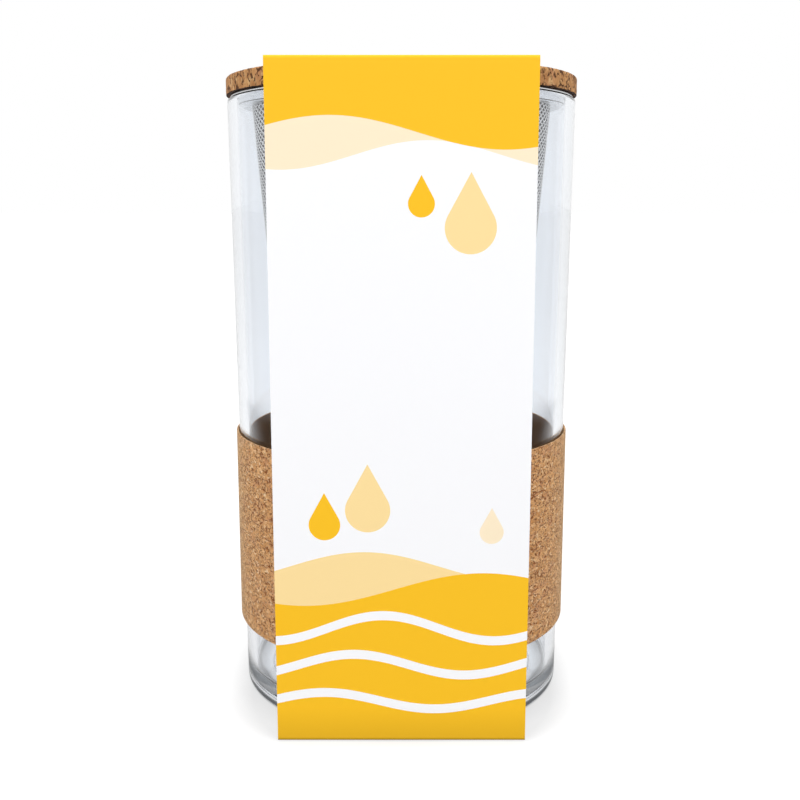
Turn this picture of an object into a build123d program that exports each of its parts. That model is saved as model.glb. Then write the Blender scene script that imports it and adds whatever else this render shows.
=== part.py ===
from build123d import *
import os
from math import sqrt

# Hydroponic jar planter, in millimetres. +Z is up, the origin lies on the table under the middle of the base,
# and the front faces -Y. A glass tumbler holds water, a mesh net pot hangs in its mouth under a cork lid,
# a cork sleeve goes round the lower half, and a folded card band hangs over the lid in front and behind.

# Glass tumbler
glass_height = 175.7
glass_rim_radius = 50.7
glass_taper = 1.8
glass_wall = 2.8
glass_floor = 6.0
glass_base_round = 1.2
glass_rim_round = 0.8
glass_inner_round = 4.0
base_ring_width = 8.0
base_recess_depth = 0.8

# Net pot: a pressed rim that lies on the glass, a tapered mesh wall and a pressed bottom
pot_sheet = 0.8
pot_lip_inset = 0.9
pot_collar_depth = 2.4
pot_collar_clearance = 0.4
pot_shoulder_width = 3.9
pot_shoulder_lap = 0.4
mesh_height = 84.5
mesh_taper = 7.2
mesh_thickness = 0.6
pot_hem_height = 3.0
pot_hem_clearance = 0.1
drain_hole_radius = 2.2
drain_circle_radius = 25.0
drain_hole_count = 10

# Wick: a felt strip over the pot's bottom, with both ends down in the water
wick_width = 16.0
wick_thickness = 3.0
wick_leg_spacing = 16.0
wick_bend_radius = 2.0
wick_slot_clearance = 0.4
wick_floor_gap = 1.5

# Growing medium: a pressed coir disc on the wick
medium_thickness = 12.0
medium_clearance = 1.0
medium_round = 2.0

# Packets that stand on the growing medium. An inset is how much narrower than the pot a packet is on each
# side, and a drop is how far its top lies under the space that the lid leaves.
leaflet_thickness = 1.2
leaflet_inset = 4.0
leaflet_drop = 0.0
seed_packet_thickness = 2.2
seed_packet_inset = 6.0
seed_packet_drop = 3.0
plant_food_thickness = 4.0
plant_food_inset = 9.0
plant_food_drop = 10.0
carbon_thickness = 6.0
carbon_inset = 12.0
carbon_drop = 16.0
packet_gap = 0.4
packet_side_clearance = 1.5
packet_headroom = 3.0
packet_corner_radius = 1.5
packet_edge_share = 0.4

# Cork lid: a disc a little wider than the rim, and the plug glued under it
lid_overhang = 0.3
lid_thickness = 5.1
lid_round = 0.7
plug_depth = 7.0
plug_clearance = 0.5
plug_chamfer = 1.0

# Cork sleeve: a straight tube of sheet with a butt seam at the back, tight at its upper edge
sleeve_bottom = 21.1
sleeve_height = 57.6
sleeve_thickness = 0.65
sleeve_clearance = 0.2
sleeve_seam_width = 0.5

# Card band: front, top and back panels folded from one strip
band_width = 68.2
card_thickness = 0.5
band_clearance = 0.3
band_fold_radius = 0.3
band_floor_gap = 0.4

# Heights that the pieces share
collar_bottom = glass_height - pot_collar_depth
mesh_top = collar_bottom
mesh_bottom = mesh_top - mesh_height
wick_top = mesh_bottom + wick_thickness
wick_bottom = glass_floor + wick_floor_gap
medium_top = wick_top + medium_thickness
lid_bottom = glass_height + pot_sheet
lid_top = lid_bottom + lid_thickness
plug_bottom = lid_bottom - plug_depth
sleeve_top = sleeve_bottom + sleeve_height


def glass_outside(height):
    """Outer radius of the tumbler's tapered wall."""
    return glass_rim_radius - glass_taper * (1 - height / glass_height)


def glass_inside(height):
    """Inner radius of the tumbler's tapered wall."""
    return glass_outside(height) - glass_wall


# Radii that the pieces share
glass_base_radius = glass_outside(0)
collar_radius = glass_inside(collar_bottom) - pot_collar_clearance
mesh_top_radius = collar_radius - pot_shoulder_width
shoulder_hole_radius = mesh_top_radius - mesh_thickness - pot_shoulder_lap
lid_radius = glass_rim_radius + lid_overhang
sleeve_inside = glass_outside(sleeve_top) + sleeve_clearance
sleeve_outside = sleeve_inside + sleeve_thickness
band_inside = max(lid_radius, sleeve_outside) + band_clearance


def mesh_outside(height):
    """Outer radius of the net pot's mesh wall."""
    return mesh_top_radius - mesh_taper * (mesh_top - height) / mesh_height


def mesh_inside(height):
    """Inner radius of the net pot's mesh wall."""
    return mesh_outside(height) - mesh_thickness


def turned(outline, rounded_corners=()):
    """Solid turned about Z from (radius, height) points, with the named corners rounded."""
    section = make_face(Polyline(*outline, close=True))
    for corner, radius in rounded_corners:
        nearest = section.vertices().sort_by_distance(Vector(*corner))[0]
        section = fillet(nearest, radius)
    return revolve(Plane.XZ * section, Axis.Z)


def block(x_range, y_range, z_range):
    """Box between two limits along each axis."""
    low, high = zip(x_range, y_range, z_range)
    size = [b - a for a, b in zip(low, high)]
    middle = [(a + b) / 2 for a, b in zip(low, high)]
    return Pos(*middle) * Box(*size)


def glass_tumbler():
    ring_inside = glass_base_radius - base_ring_width
    foot_edge = (glass_base_radius, 0)
    outer_lip = (glass_rim_radius, glass_height)
    inner_lip = (glass_inside(glass_height), glass_height)
    floor_corner = (glass_inside(glass_floor), glass_floor)
    outline = [
        (0, base_recess_depth),
        (ring_inside - base_recess_depth, base_recess_depth),
        (ring_inside, 0),
        foot_edge,
        outer_lip,
        inner_lip,
        floor_corner,
        (0, glass_floor),
    ]
    rounded_corners = [
        (foot_edge, glass_base_round),
        (outer_lip, glass_rim_round),
        (inner_lip, glass_rim_round),
        (floor_corner, glass_inner_round),
    ]
    return turned(outline, rounded_corners)


def net_pot_rim():
    """Pressed ring: a lip on the glass, a collar inside the mouth and a flat shoulder in to the mesh."""
    lip_radius = glass_rim_radius - pot_lip_inset
    collar_inside = collar_radius - pot_sheet
    shoulder_top = collar_bottom + pot_sheet
    return turned([
        (lip_radius, glass_height),
        (collar_radius, glass_height),
        (collar_radius, collar_bottom),
        (shoulder_hole_radius, collar_bottom),
        (shoulder_hole_radius, shoulder_top),
        (collar_inside, shoulder_top),
        (collar_inside, lid_bottom),
        (lip_radius, lid_bottom),
    ])


def net_pot_mesh():
    """Tapered wall of the net pot, from its bottom plate to the underside of the shoulder."""
    return turned([
        (mesh_inside(mesh_bottom), mesh_bottom),
        (mesh_outside(mesh_bottom), mesh_bottom),
        (mesh_outside(mesh_top), mesh_top),
        (mesh_inside(mesh_top), mesh_top),
    ])


def wick_slots():
    """Through cuts in the pot's bottom for the wick's two legs."""
    half_thickness = wick_thickness / 2 + wick_slot_clearance
    half_width = wick_width / 2 + wick_slot_clearance
    slots = []
    for side in (-1, 1):
        centre = side * wick_leg_spacing / 2
        slots.append(block(
            (centre - half_thickness, centre + half_thickness),
            (-half_width, half_width),
            (mesh_bottom - 2 * pot_sheet, mesh_bottom + pot_sheet),
        ))
    return slots


def net_pot_base():
    """Pressed cup with a hem outside the mesh, two wick slots and a ring of drain holes."""
    plate_bottom = mesh_bottom - pot_sheet
    hem_top = mesh_bottom + pot_hem_height

    def hem_inside(height):
        return mesh_outside(height) + pot_hem_clearance

    cup = turned([
        (0, plate_bottom),
        (hem_inside(mesh_bottom) + pot_sheet, plate_bottom),
        (hem_inside(hem_top) + pot_sheet, hem_top),
        (hem_inside(hem_top), hem_top),
        (hem_inside(mesh_bottom), mesh_bottom),
        (0, mesh_bottom),
    ])
    drain_hole = Cylinder(drain_hole_radius, 4 * pot_sheet)
    drains = [
        Pos(0, 0, plate_bottom) * place * drain_hole
        for place in PolarLocations(drain_circle_radius, drain_hole_count)
    ]
    return cup - wick_slots() - drains


def wick():
    half_width = wick_width / 2
    outer_half = wick_leg_spacing / 2 + wick_thickness / 2
    inner_half = wick_leg_spacing / 2 - wick_thickness / 2
    strip = block((-outer_half, outer_half), (-half_width, half_width), (wick_bottom, wick_top))
    strip -= block((-inner_half, inner_half), (-half_width, half_width), (wick_bottom, mesh_bottom))
    bend_edges = strip.edges().filter_by(Axis.Y).group_by(Axis.Z)[-1]
    return fillet(bend_edges, wick_bend_radius)


def growing_medium():
    radius = mesh_inside(wick_top) - medium_clearance
    disc = Pos(0, 0, (wick_top + medium_top) / 2) * Cylinder(radius, medium_thickness)
    return fillet(disc.edges().filter_by(GeomType.CIRCLE), medium_round)


def packet(width, height, thickness):
    """Flat packet in the XZ plane with soft edges, centred on the origin."""
    outline = Plane.XZ * RectangleRounded(width, height, packet_corner_radius)
    blank = extrude(outline, thickness / 2, both=True)
    face_edges = blank.edges().filter_by(lambda edge: abs(edge.center().Y) > thickness / 4)
    return fillet(face_edges, thickness * packet_edge_share)


def packets():
    """Named packets, one behind the other across the middle of the pot, from front to back."""
    seed_packet = (seed_packet_thickness, seed_packet_inset, seed_packet_drop)
    kinds = {
        "leaflet": (leaflet_thickness, leaflet_inset, leaflet_drop),
        "seed_packet_front": seed_packet,
        "seed_packet_back": seed_packet,
        "plant_food_sachet": (plant_food_thickness, plant_food_inset, plant_food_drop),
        "carbon_sachet": (carbon_thickness, carbon_inset, carbon_drop),
    }
    stack = sum(thickness for thickness, _, _ in kinds.values()) + packet_gap * (len(kinds) - 1)
    reach = mesh_inside(medium_top) - packet_side_clearance
    half_room = sqrt(reach ** 2 - (stack / 2) ** 2)
    room_height = plug_bottom - packet_headroom - medium_top
    made = {}
    front = -stack / 2
    for name, (thickness, inset, drop) in kinds.items():
        height = room_height - drop
        place = Pos(0, front + thickness / 2, medium_top + height / 2)
        made[name] = place * packet(2 * (half_room - inset), height, thickness)
        front += thickness + packet_gap
    return made


def lid_disc():
    disc = Pos(0, 0, (lid_bottom + lid_top) / 2) * Cylinder(lid_radius, lid_thickness)
    return fillet(disc.edges().filter_by(GeomType.CIRCLE), lid_round)


def lid_plug():
    radius = shoulder_hole_radius - plug_clearance
    plug = Pos(0, 0, (plug_bottom + lid_bottom) / 2) * Cylinder(radius, plug_depth)
    lower_edge = plug.edges().filter_by(GeomType.CIRCLE).group_by(Axis.Z)[0]
    return chamfer(lower_edge, plug_chamfer)


def cork_sleeve():
    tube = turned([
        (sleeve_inside, sleeve_bottom),
        (sleeve_outside, sleeve_bottom),
        (sleeve_outside, sleeve_top),
        (sleeve_inside, sleeve_top),
    ])
    half_seam = sleeve_seam_width / 2
    seam = block((-half_seam, half_seam), (0, 2 * sleeve_outside), (0, 2 * sleeve_top))
    return tube - seam


def card_band():
    half_width = band_width / 2
    band_outside = band_inside + card_thickness
    band_top = lid_top + card_thickness

    def arch(half_depth, top, fold_radius):
        solid = block((-half_width, half_width), (-half_depth, half_depth), (band_floor_gap, top))
        folds = solid.edges().filter_by(Axis.X).group_by(Axis.Z)[-1]
        return fillet(folds, fold_radius)

    outer = arch(band_outside, band_top, band_fold_radius + card_thickness)
    return outer - arch(band_inside, lid_top, band_fold_radius)


def main():
    pieces = {
        "glass_tumbler": glass_tumbler(),
        "cork_sleeve": cork_sleeve(),
        "net_pot_rim": net_pot_rim(),
        "net_pot_mesh": net_pot_mesh(),
        "net_pot_base": net_pot_base(),
        "wick": wick(),
        "growing_medium": growing_medium(),
        "lid_disc": lid_disc(),
        "lid_plug": lid_plug(),
        "card_band": card_band(),
    }
    pieces.update(packets())
    os.makedirs("parts", exist_ok=True)
    for name, piece in pieces.items():
        export_step(piece, f"parts/{name}.step")


main()
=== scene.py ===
import math

import bmesh
import bpy
import numpy as np
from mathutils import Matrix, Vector, noise


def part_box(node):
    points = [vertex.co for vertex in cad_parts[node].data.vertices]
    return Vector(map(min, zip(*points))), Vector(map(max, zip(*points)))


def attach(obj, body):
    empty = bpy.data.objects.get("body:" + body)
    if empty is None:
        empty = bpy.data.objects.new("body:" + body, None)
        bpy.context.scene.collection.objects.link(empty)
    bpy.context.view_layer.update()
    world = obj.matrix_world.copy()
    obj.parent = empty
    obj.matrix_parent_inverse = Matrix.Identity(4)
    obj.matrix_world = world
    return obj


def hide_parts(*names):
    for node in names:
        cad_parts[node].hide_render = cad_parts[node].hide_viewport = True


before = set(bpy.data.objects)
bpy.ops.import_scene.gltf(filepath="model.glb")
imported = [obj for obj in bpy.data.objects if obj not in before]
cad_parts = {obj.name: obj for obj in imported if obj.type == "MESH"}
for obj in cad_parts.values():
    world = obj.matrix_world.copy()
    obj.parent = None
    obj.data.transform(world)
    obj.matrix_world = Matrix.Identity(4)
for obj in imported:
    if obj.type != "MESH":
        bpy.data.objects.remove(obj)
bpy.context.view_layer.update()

MM = 0.001

# The CAD boxes that the pieces take their places from
glass_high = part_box("glass_tumbler")[1]
sleeve_low, sleeve_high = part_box("cork_sleeve")
rim_low, rim_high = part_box("net_pot_rim")
mesh_low, mesh_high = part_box("net_pot_mesh")
wick_low, wick_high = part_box("wick")
medium_low, medium_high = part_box("growing_medium")
band_low, band_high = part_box("card_band")

# Sizes of the tumbler that its box doesn't give
GLASS_TAPER = 1.8 * MM
GLASS_WALL = 2.8 * MM
GLASS_FLOOR = 6.0 * MM
GLASS_BASE_ROUND = 1.2 * MM
GLASS_RIM_ROUND = 1.0 * MM
GLASS_FLOOR_ROUND = 1.5 * MM
BASE_RING = 8.0 * MM
BASE_RECESS = 0.8 * MM
RECESS_ROUND = 0.4 * MM
RING_ROUND = 0.3 * MM
glass_foot = glass_high.x - GLASS_TAPER

# Sizes of the net pot
POT_SHEET = 0.8 * MM
POT_ROLL = 0.36 * MM
POT_COLLAR_GAP = 0.425 * MM
POT_HOLE_RADIUS = 42.575 * MM
COLLAR_TOP_ROUND = 0.7 * MM
COLLAR_INSIDE_ROUND = 0.5 * MM
COLLAR_FOOT_ROUND = 0.9 * MM
LIP_CREASE_ROUND = 0.2 * MM
# Size of the corner under the collar that gets painted shade
PAINTED_SHADE_CORNER_WIDE = 0.45 * MM
PAINTED_SHADE_CORNER_HIGH = 0.25 * MM
MESH_TAPER = 7.2 * MM
MESH_STRANDS = 88
MESH_ROWS = 104
STRAND_WIDE = 0.64 * MM
STRAND_FRONT = 0.12 * MM
STRAND_BACK = 0.46 * MM

# Sizes of the thin and soft pieces
SLEEVE_SHEET = 0.65 * MM
SLEEVE_SEAM = 0.5 * MM
SLEEVE_EDGE_ROUND = 0.12 * MM
CARD = 0.5 * MM
CARD_FOLD = 0.55 * MM
WICK_SHEET = 3.0 * MM
WICK_BEND = 2.0 * MM
MEDIUM_ROUND = 2.0 * MM
LID_TOP_ROUND = 0.9 * MM
LID_FOOT_ROUND = 0.3 * MM
PLUG_FOOT_ROUND = 1.0 * MM
LEAFLET_PANELS = 4
LEAFLET_PAPER = 0.14 * MM
SEAL_EDGE = 0.3 * MM

# How finely the meshes are divided
SEGMENTS = 192
SLEEVE_SEGMENTS = 300
LID_SEGMENTS = 320
CURVE_LEAD = 1.1
MERGE_DISTANCE = 1e-7


# Meshes

def rounded(corners, steps=5):
    """Points of an outline whose corners (across, up, rounding) are eased by short curves.

    A point just before and after each curve keeps the shading of the straight stretches straight.
    """
    points = []
    for place, (across, up, rounding) in enumerate(corners):
        corner = Vector((across, up))
        if rounding == 0:
            points.append(corner)
            continue
        before = (Vector(corners[place - 1][:2]) - corner).normalized() * rounding
        after = (Vector(corners[(place + 1) % len(corners)][:2]) - corner).normalized() * rounding
        points.append(corner + before * CURVE_LEAD)
        for step in range(steps + 1):
            share = step / steps
            in_run = (corner + before).lerp(corner, share)
            out_run = corner.lerp(corner + after, share)
            points.append(in_run.lerp(out_run, share))
        points.append(corner + after * CURVE_LEAD)
    return points


def finer(points, longest, closed=True):
    """The same outline with no stretch longer than the given length."""
    result = []
    stretches = len(points) if closed else len(points) - 1
    for place in range(stretches):
        point = points[place]
        after = points[(place + 1) % len(points)]
        parts = max(1, math.ceil((after - point).length / longest))
        result += [point.lerp(after, step / parts) for step in range(parts)]
    if not closed:
        result.append(points[-1])
    return result


def steps_between(low, high, count):
    """Even steps from one value to another, both ends among them."""
    return [low + (high - low) * step / count for step in range(count + 1)]


def finished_mesh(name, corners, faces, sharp=40):
    """A smooth-shaded mesh with merged points, outward faces and creases where it turns sharply."""
    mesh = bpy.data.meshes.new(name)
    mesh.from_pydata(corners, [], faces)
    shape = bmesh.new()
    shape.from_mesh(mesh)
    bmesh.ops.remove_doubles(shape, verts=shape.verts, dist=MERGE_DISTANCE)
    bmesh.ops.recalc_face_normals(shape, faces=shape.faces)
    shape.to_mesh(mesh)
    shape.free()
    mesh.shade_smooth()
    mesh.set_sharp_from_angle(angle=math.radians(sharp))
    return mesh


def turned(name, points, start=0.0, sweep=math.tau, segments=SEGMENTS):
    """A mesh turned about the upright axis from a closed outline (radius, height)."""
    whole = sweep > math.tau - MERGE_DISTANCE
    turns = segments if whole else segments + 1
    angles = start + sweep * np.arange(turns) / segments
    radii = np.array([point.x for point in points])
    heights = np.array([point.y for point in points])
    across = np.outer(np.cos(angles), radii)
    deep = np.outer(np.sin(angles), radii)
    up = np.tile(heights, (turns, 1))
    corners = np.stack([across, deep, up], axis=2).reshape(-1, 3).tolist()
    count = len(points)
    faces = []
    for turn in range(segments):
        here = turn * count
        there = (turn + 1) % turns * count
        for place in range(count):
            after = (place + 1) % count
            if radii[place] == 0 and radii[after] == 0:
                continue
            faces.append((here + place, there + place, there + after, here + after))
    if not whole:
        faces.append(range(count))
        faces.append(range(segments * count, turns * count))
    return finished_mesh(name, corners, faces)


def two_sided(lines, width):
    """Faces of two grids of points that are joined at their rims, and each face's finish.

    The first grid has finish 0, the second one 1 and the rims 2.
    """
    behind = lines * width
    faces = []
    finishes = []
    for line in range(lines - 1):
        for column in range(width - 1):
            first = line * width + column
            quad = (first, first + 1, first + width + 1, first + width)
            faces.append(quad)
            faces.append(tuple(behind + corner for corner in reversed(quad)))
            finishes += [0, 1]
        for column in (0, width - 1):
            first = line * width + column
            faces.append((first, first + width, behind + first + width, behind + first))
            finishes.append(2)
    for line in (0, lines - 1):
        for column in range(width - 1):
            first = line * width + column
            faces.append((first, first + 1, behind + first + 1, behind + first))
            finishes.append(2)
    return faces, finishes


def ribbon(name, path, thickness, along, place):
    """A strip of even thickness that follows a path, wide along a third direction.

    path is a list of flat points, along the steps across the width, and place turns a flat point and a
    step into a point in space. The left side of the path has material 0, the right side 1, the rims 2.
    """
    sides = []
    for index, point in enumerate(path):
        before = path[max(index - 1, 0)]
        after = path[min(index + 1, len(path) - 1)]
        run = (after - before).normalized()
        sides.append(Vector((-run.y, run.x)) * thickness / 2)
    corners = []
    for sign in (1, -1):
        for point, side in zip(path, sides):
            corners += [place(point + side * sign, step) for step in along]
    faces, finishes = two_sided(len(path), len(along))
    mesh = finished_mesh(name, corners, faces)
    mesh.polygons.foreach_set("material_index", finishes)
    return mesh


def pouch(name, node, columns, rows, swell):
    """Two faces that meet at a thin edge; swell(across, up) gives half their gap, both from -1 to 1."""
    low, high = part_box(node)
    middle = (low + high) / 2
    half = (high - low) / 2
    corners = []
    for sign in (-1, 1):
        for row in range(rows + 1):
            for column in range(columns + 1):
                across = 2 * column / columns - 1
                up = 2 * row / rows - 1
                gap = min(swell(across, up), half.y)
                corners.append(middle + Vector((across * half.x, sign * gap, up * half.z)))
    faces = two_sided(rows + 1, columns + 1)[0]
    return finished_mesh(name, corners, faces)


def roughened(mesh, depth, grain):
    """Moves each point of a mesh inwards by up to depth, unevenly, in lumps of about the grain's size."""
    lumps = [0.5 + 0.5 * noise.noise(vertex.co / grain) for vertex in mesh.vertices]
    moves = [vertex.normal * depth * lump for vertex, lump in zip(mesh.vertices, lumps)]
    for vertex, move in zip(mesh.vertices, moves):
        vertex.co -= move


def piece(name, mesh, materials, body, slot, *nodes):
    """A new object that moves with a body and stands for CAD nodes."""
    made = bpy.data.objects.new(name, mesh)
    bpy.context.scene.collection.objects.link(made)
    for material in materials:
        mesh.materials.append(material)
    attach(made, body)
    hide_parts(*nodes)
    return made


# Material building blocks

def colour(code):
    """Linear red, green, blue and alpha of a colour written as a screen code."""
    parts = [int(code[place:place + 2], 16) / 255 for place in (1, 3, 5)]
    linear = [part / 12.92 if part <= 0.04045 else ((part + 0.055) / 1.055) ** 2.4 for part in parts]
    return (*linear, 1.0)


def add(tree, kind, inputs=None, **settings):
    """A new node with its settings, and with each named input set or joined."""
    node = tree.nodes.new(kind)
    for name, value in settings.items():
        setattr(node, name, value)
    for name, value in (inputs or {}).items():
        if isinstance(value, bpy.types.NodeSocket):
            tree.links.new(value, node.inputs[name])
        else:
            node.inputs[name].default_value = value
    return node


def sums(tree, operation, first, second=0.0, third=0.0):
    """A Math node's result."""
    return add(tree, "ShaderNodeMath", {0: first, 1: second, 2: third}, operation=operation).outputs[0]


def spread(tree, value, low, high, out_low=0.0, out_high=1.0):
    """A value taken from one range to another, and held at its ends."""
    inputs = {"Value": value, 1: low, 2: high, 3: out_low, 4: out_high}
    return add(tree, "ShaderNodeMapRange", inputs).outputs[0]


def mixed(tree, share, first, second):
    """A colour between two colours."""
    inputs = {0: share, 6: first, 7: second}
    return add(tree, "ShaderNodeMix", inputs, data_type="RGBA").outputs[2]


def noisy(tree, spot, scale, detail=3.0):
    """Soft noise from 0 to 1 at the given lumps a metre."""
    inputs = {"Vector": spot, "Scale": scale, "Detail": detail}
    return add(tree, "ShaderNodeTexNoise", inputs).outputs["Fac"]


def bumped(tree, height, distance, strength=1.0):
    """A normal pushed about by a height from 0 to 1 over the given distance."""
    inputs = {"Height": height, "Distance": distance, "Strength": strength}
    return add(tree, "ShaderNodeBump", inputs).outputs["Normal"]


def stretched(tree, spot, x, y, z):
    """A place scaled along each axis."""
    inputs = {0: spot, 1: (x, y, z)}
    return add(tree, "ShaderNodeVectorMath", inputs, operation="MULTIPLY").outputs[0]


def object_spot(tree):
    """The place on the piece in metres."""
    return add(tree, "ShaderNodeTexCoord").outputs["Object"]


def new_material(name):
    """An empty material and its node tree."""
    material = bpy.data.materials.new(name)
    material.use_nodes = True
    material.node_tree.nodes.clear()
    return material, material.node_tree


def shown(tree, shader):
    """Joins a shader node to the material's output."""
    add(tree, "ShaderNodeOutputMaterial", {"Surface": shader.outputs[0]})


def new_group(name, inputs, outputs):
    """An empty shader node group, the sockets that it is given and the sockets that it puts out."""
    group = bpy.data.node_groups.new(name, "ShaderNodeTree")
    for label, kind in inputs.items():
        group.interface.new_socket(label, in_out="INPUT", socket_type=kind)
    for label, kind in outputs.items():
        group.interface.new_socket(label, in_out="OUTPUT", socket_type=kind)
    given = group.nodes.new("NodeGroupInput").outputs
    out = group.nodes.new("NodeGroupOutput").inputs
    return group, given, out


NUMBER = "NodeSocketFloat"
PLACE = "NodeSocketVector"


# Shared effects

def wandering(group, spot, granules):
    """A place shifted by a part of a granule, so that the granules' seams wander."""
    most = 0.8
    wander = add(group, "ShaderNodeTexNoise", {"Vector": spot, "Scale": granules, "Detail": 2.0})
    inputs = {0: wander.outputs["Color"], 1: (0.5, 0.5, 0.5)}
    centred = add(group, "ShaderNodeVectorMath", inputs, operation="SUBTRACT")
    reach = sums(group, "DIVIDE", most, granules)
    shift = add(group, "ShaderNodeVectorMath", {0: centred.outputs[0], "Scale": reach}, operation="SCALE")
    return add(group, "ShaderNodeVectorMath", {0: spot, 1: shift.outputs[0]}).outputs[0]


def granule_tone(group, spot, wandered, granules):
    """Each granule's own tone and a finer mottling over it."""
    cell_share = 0.35
    mottle_share = 0.8
    mottle_scale = 2.2
    cells = add(group, "ShaderNodeTexVoronoi", {"Vector": wandered, "Scale": granules})
    cell_tone = add(group, "ShaderNodeSeparateColor", {"Color": cells.outputs["Color"]}).outputs[0]
    mottle = noisy(group, spot, sums(group, "MULTIPLY", granules, mottle_scale), 5.0)
    return sums(group, "MULTIPLY_ADD", cell_tone, cell_share, sums(group, "MULTIPLY", mottle, mottle_share))


def seam_strokes(group, given, wandered):
    """Dark strokes along the seams between granules, kept in patches and broken by gaps."""
    patch_scale = 0.8
    patch_edge = 0.16
    gap_scale = 1.5
    core_share = 0.35
    thinnest = 0.02
    spot = given["Spot"]
    granules = given["Granules"]
    inputs = {"Vector": wandered, "Scale": granules}
    edges = add(group, "ShaderNodeTexVoronoi", inputs, feature="DISTANCE_TO_EDGE")
    patches = noisy(group, spot, sums(group, "MULTIPLY", granules, patch_scale), 2.0)
    limit = spread(group, given["Stroke Share"], 0.0, 1.0, 0.7, 0.3)
    kept = spread(group, patches, limit, sums(group, "ADD", limit, patch_edge))
    width = sums(group, "MULTIPLY", given["Stroke Width"], kept)
    core = sums(group, "MULTIPLY", width, core_share)
    strokes = spread(group, edges.outputs["Distance"], core, width, 1.0, 0.0)
    strokes = sums(group, "MULTIPLY", strokes, sums(group, "GREATER_THAN", kept, thinnest))
    gaps = noisy(group, spot, sums(group, "MULTIPLY", granules, gap_scale), 1.0)
    return sums(group, "MULTIPLY", strokes, spread(group, gaps, 0.42, 0.54))


def dark_specks(group, given):
    """Dark crumbs, more of them the larger the speck share."""
    crumb_scale = 1.7
    crumb_edge = 0.07
    crumbs = noisy(group, given["Spot"], sums(group, "MULTIPLY", given["Granules"], crumb_scale), 3.0)
    limit = spread(group, given["Speck Share"], 0.0, 1.0, 0.8, 0.45)
    return spread(group, crumbs, limit, sums(group, "ADD", limit, crumb_edge))


def make_cork_grain():
    """Pressed cork: granules of mixed tone, dark strokes along some seams, dark specks and pale flecks."""
    group, given, out = new_group(
        "cork_grain",
        {"Spot": PLACE, "Granules": NUMBER, "Stroke Width": NUMBER, "Stroke Share": NUMBER,
         "Speck Share": NUMBER},
        {"Tone": NUMBER, "Dark": NUMBER, "Pale": NUMBER, "Height": NUMBER},
    )
    tone_height = 0.6
    granules = given["Granules"]
    wandered = wandering(group, given["Spot"], granules)
    tone = granule_tone(group, given["Spot"], wandered, granules)
    dark = sums(group, "MAXIMUM", seam_strokes(group, given, wandered), dark_specks(group, given))
    flecks = noisy(group, stretched(group, given["Spot"], -1.0, 1.0, -1.0), granules, 4.0)
    height = sums(group, "SUBTRACT", sums(group, "MULTIPLY", tone, tone_height), dark)
    group.links.new(tone, out["Tone"])
    group.links.new(dark, out["Dark"])
    group.links.new(spread(group, flecks, 0.56, 0.68), out["Pale"])
    group.links.new(height, out["Height"])
    return group


def make_fibre_mat():
    """Tangled fibres: fine stretched noise in two directions over soft clumps."""
    group, given, out = new_group(
        "fibre_mat", {"Spot": PLACE, "Fibres": NUMBER}, {"Tone": NUMBER, "Height": NUMBER}
    )
    fibres = given["Fibres"]
    clumps = noisy(group, given["Spot"], sums(group, "MULTIPLY", fibres, 0.2), 3.0)
    lying = noisy(group, stretched(group, given["Spot"], 1.0, 0.25, 3.0), fibres, 4.0)
    standing = noisy(group, stretched(group, given["Spot"], 3.0, 1.0, 0.3), fibres, 4.0)
    strands = sums(group, "MAXIMUM", lying, standing)
    tone = sums(group, "MULTIPLY_ADD", strands, 0.7, sums(group, "MULTIPLY", clumps, 0.3))
    group.links.new(tone, out["Tone"])
    group.links.new(strands, out["Height"])
    return group


def make_paper_tooth():
    """The faint cloudiness and fine tooth of paper and card."""
    group, given, out = new_group(
        "paper_tooth", {"Spot": PLACE, "Tooth": NUMBER}, {"Tone": NUMBER, "Height": NUMBER}
    )
    cloud = noisy(group, given["Spot"], sums(group, "MULTIPLY", given["Tooth"], 0.08), 3.0)
    tooth = noisy(group, given["Spot"], given["Tooth"], 4.0)
    tone = sums(group, "MULTIPLY_ADD", tooth, 0.5, sums(group, "MULTIPLY", cloud, 0.5))
    group.links.new(tone, out["Tone"])
    group.links.new(tooth, out["Height"])
    return group


def make_steel_finish():
    """Rolled steel: fine lines along the sheet and faint cloudy smears."""
    group, given, out = new_group(
        "steel_finish", {"Spot": PLACE, "Lines": NUMBER}, {"Tone": NUMBER, "Lines": NUMBER}
    )
    lines = noisy(group, stretched(group, given["Spot"], 0.06, 0.06, 1.0), given["Lines"], 3.0)
    smears = noisy(group, given["Spot"], sums(group, "MULTIPLY", given["Lines"], 0.03), 2.0)
    tone = sums(group, "MULTIPLY_ADD", lines, 0.6, sums(group, "MULTIPLY", smears, 0.4))
    group.links.new(tone, out["Tone"])
    group.links.new(lines, out["Lines"])
    return group


def make_wave_edge():
    """Where a place on the card lies above, below or on a wavy line."""
    group, given, out = new_group(
        "wave_edge",
        {"Across": NUMBER, "Up": NUMBER, "Level": NUMBER, "Rise": NUMBER, "Length": NUMBER,
         "Shift": NUMBER, "Line Width": NUMBER},
        {"Above": NUMBER, "Below": NUMBER, "Line": NUMBER},
    )
    turn = sums(group, "DIVIDE", sums(group, "ADD", given["Across"], given["Shift"]), given["Length"])
    wave = sums(group, "SINE", sums(group, "MULTIPLY", turn, math.tau))
    line = sums(group, "MULTIPLY_ADD", wave, given["Rise"], given["Level"])
    over = sums(group, "SUBTRACT", given["Up"], line)
    half = sums(group, "MULTIPLY", given["Line Width"], 0.5)
    group.links.new(sums(group, "GREATER_THAN", over, 0.0), out["Above"])
    group.links.new(sums(group, "LESS_THAN", over, 0.0), out["Below"])
    group.links.new(sums(group, "LESS_THAN", sums(group, "ABSOLUTE", over), half), out["Line"])
    return group


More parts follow.
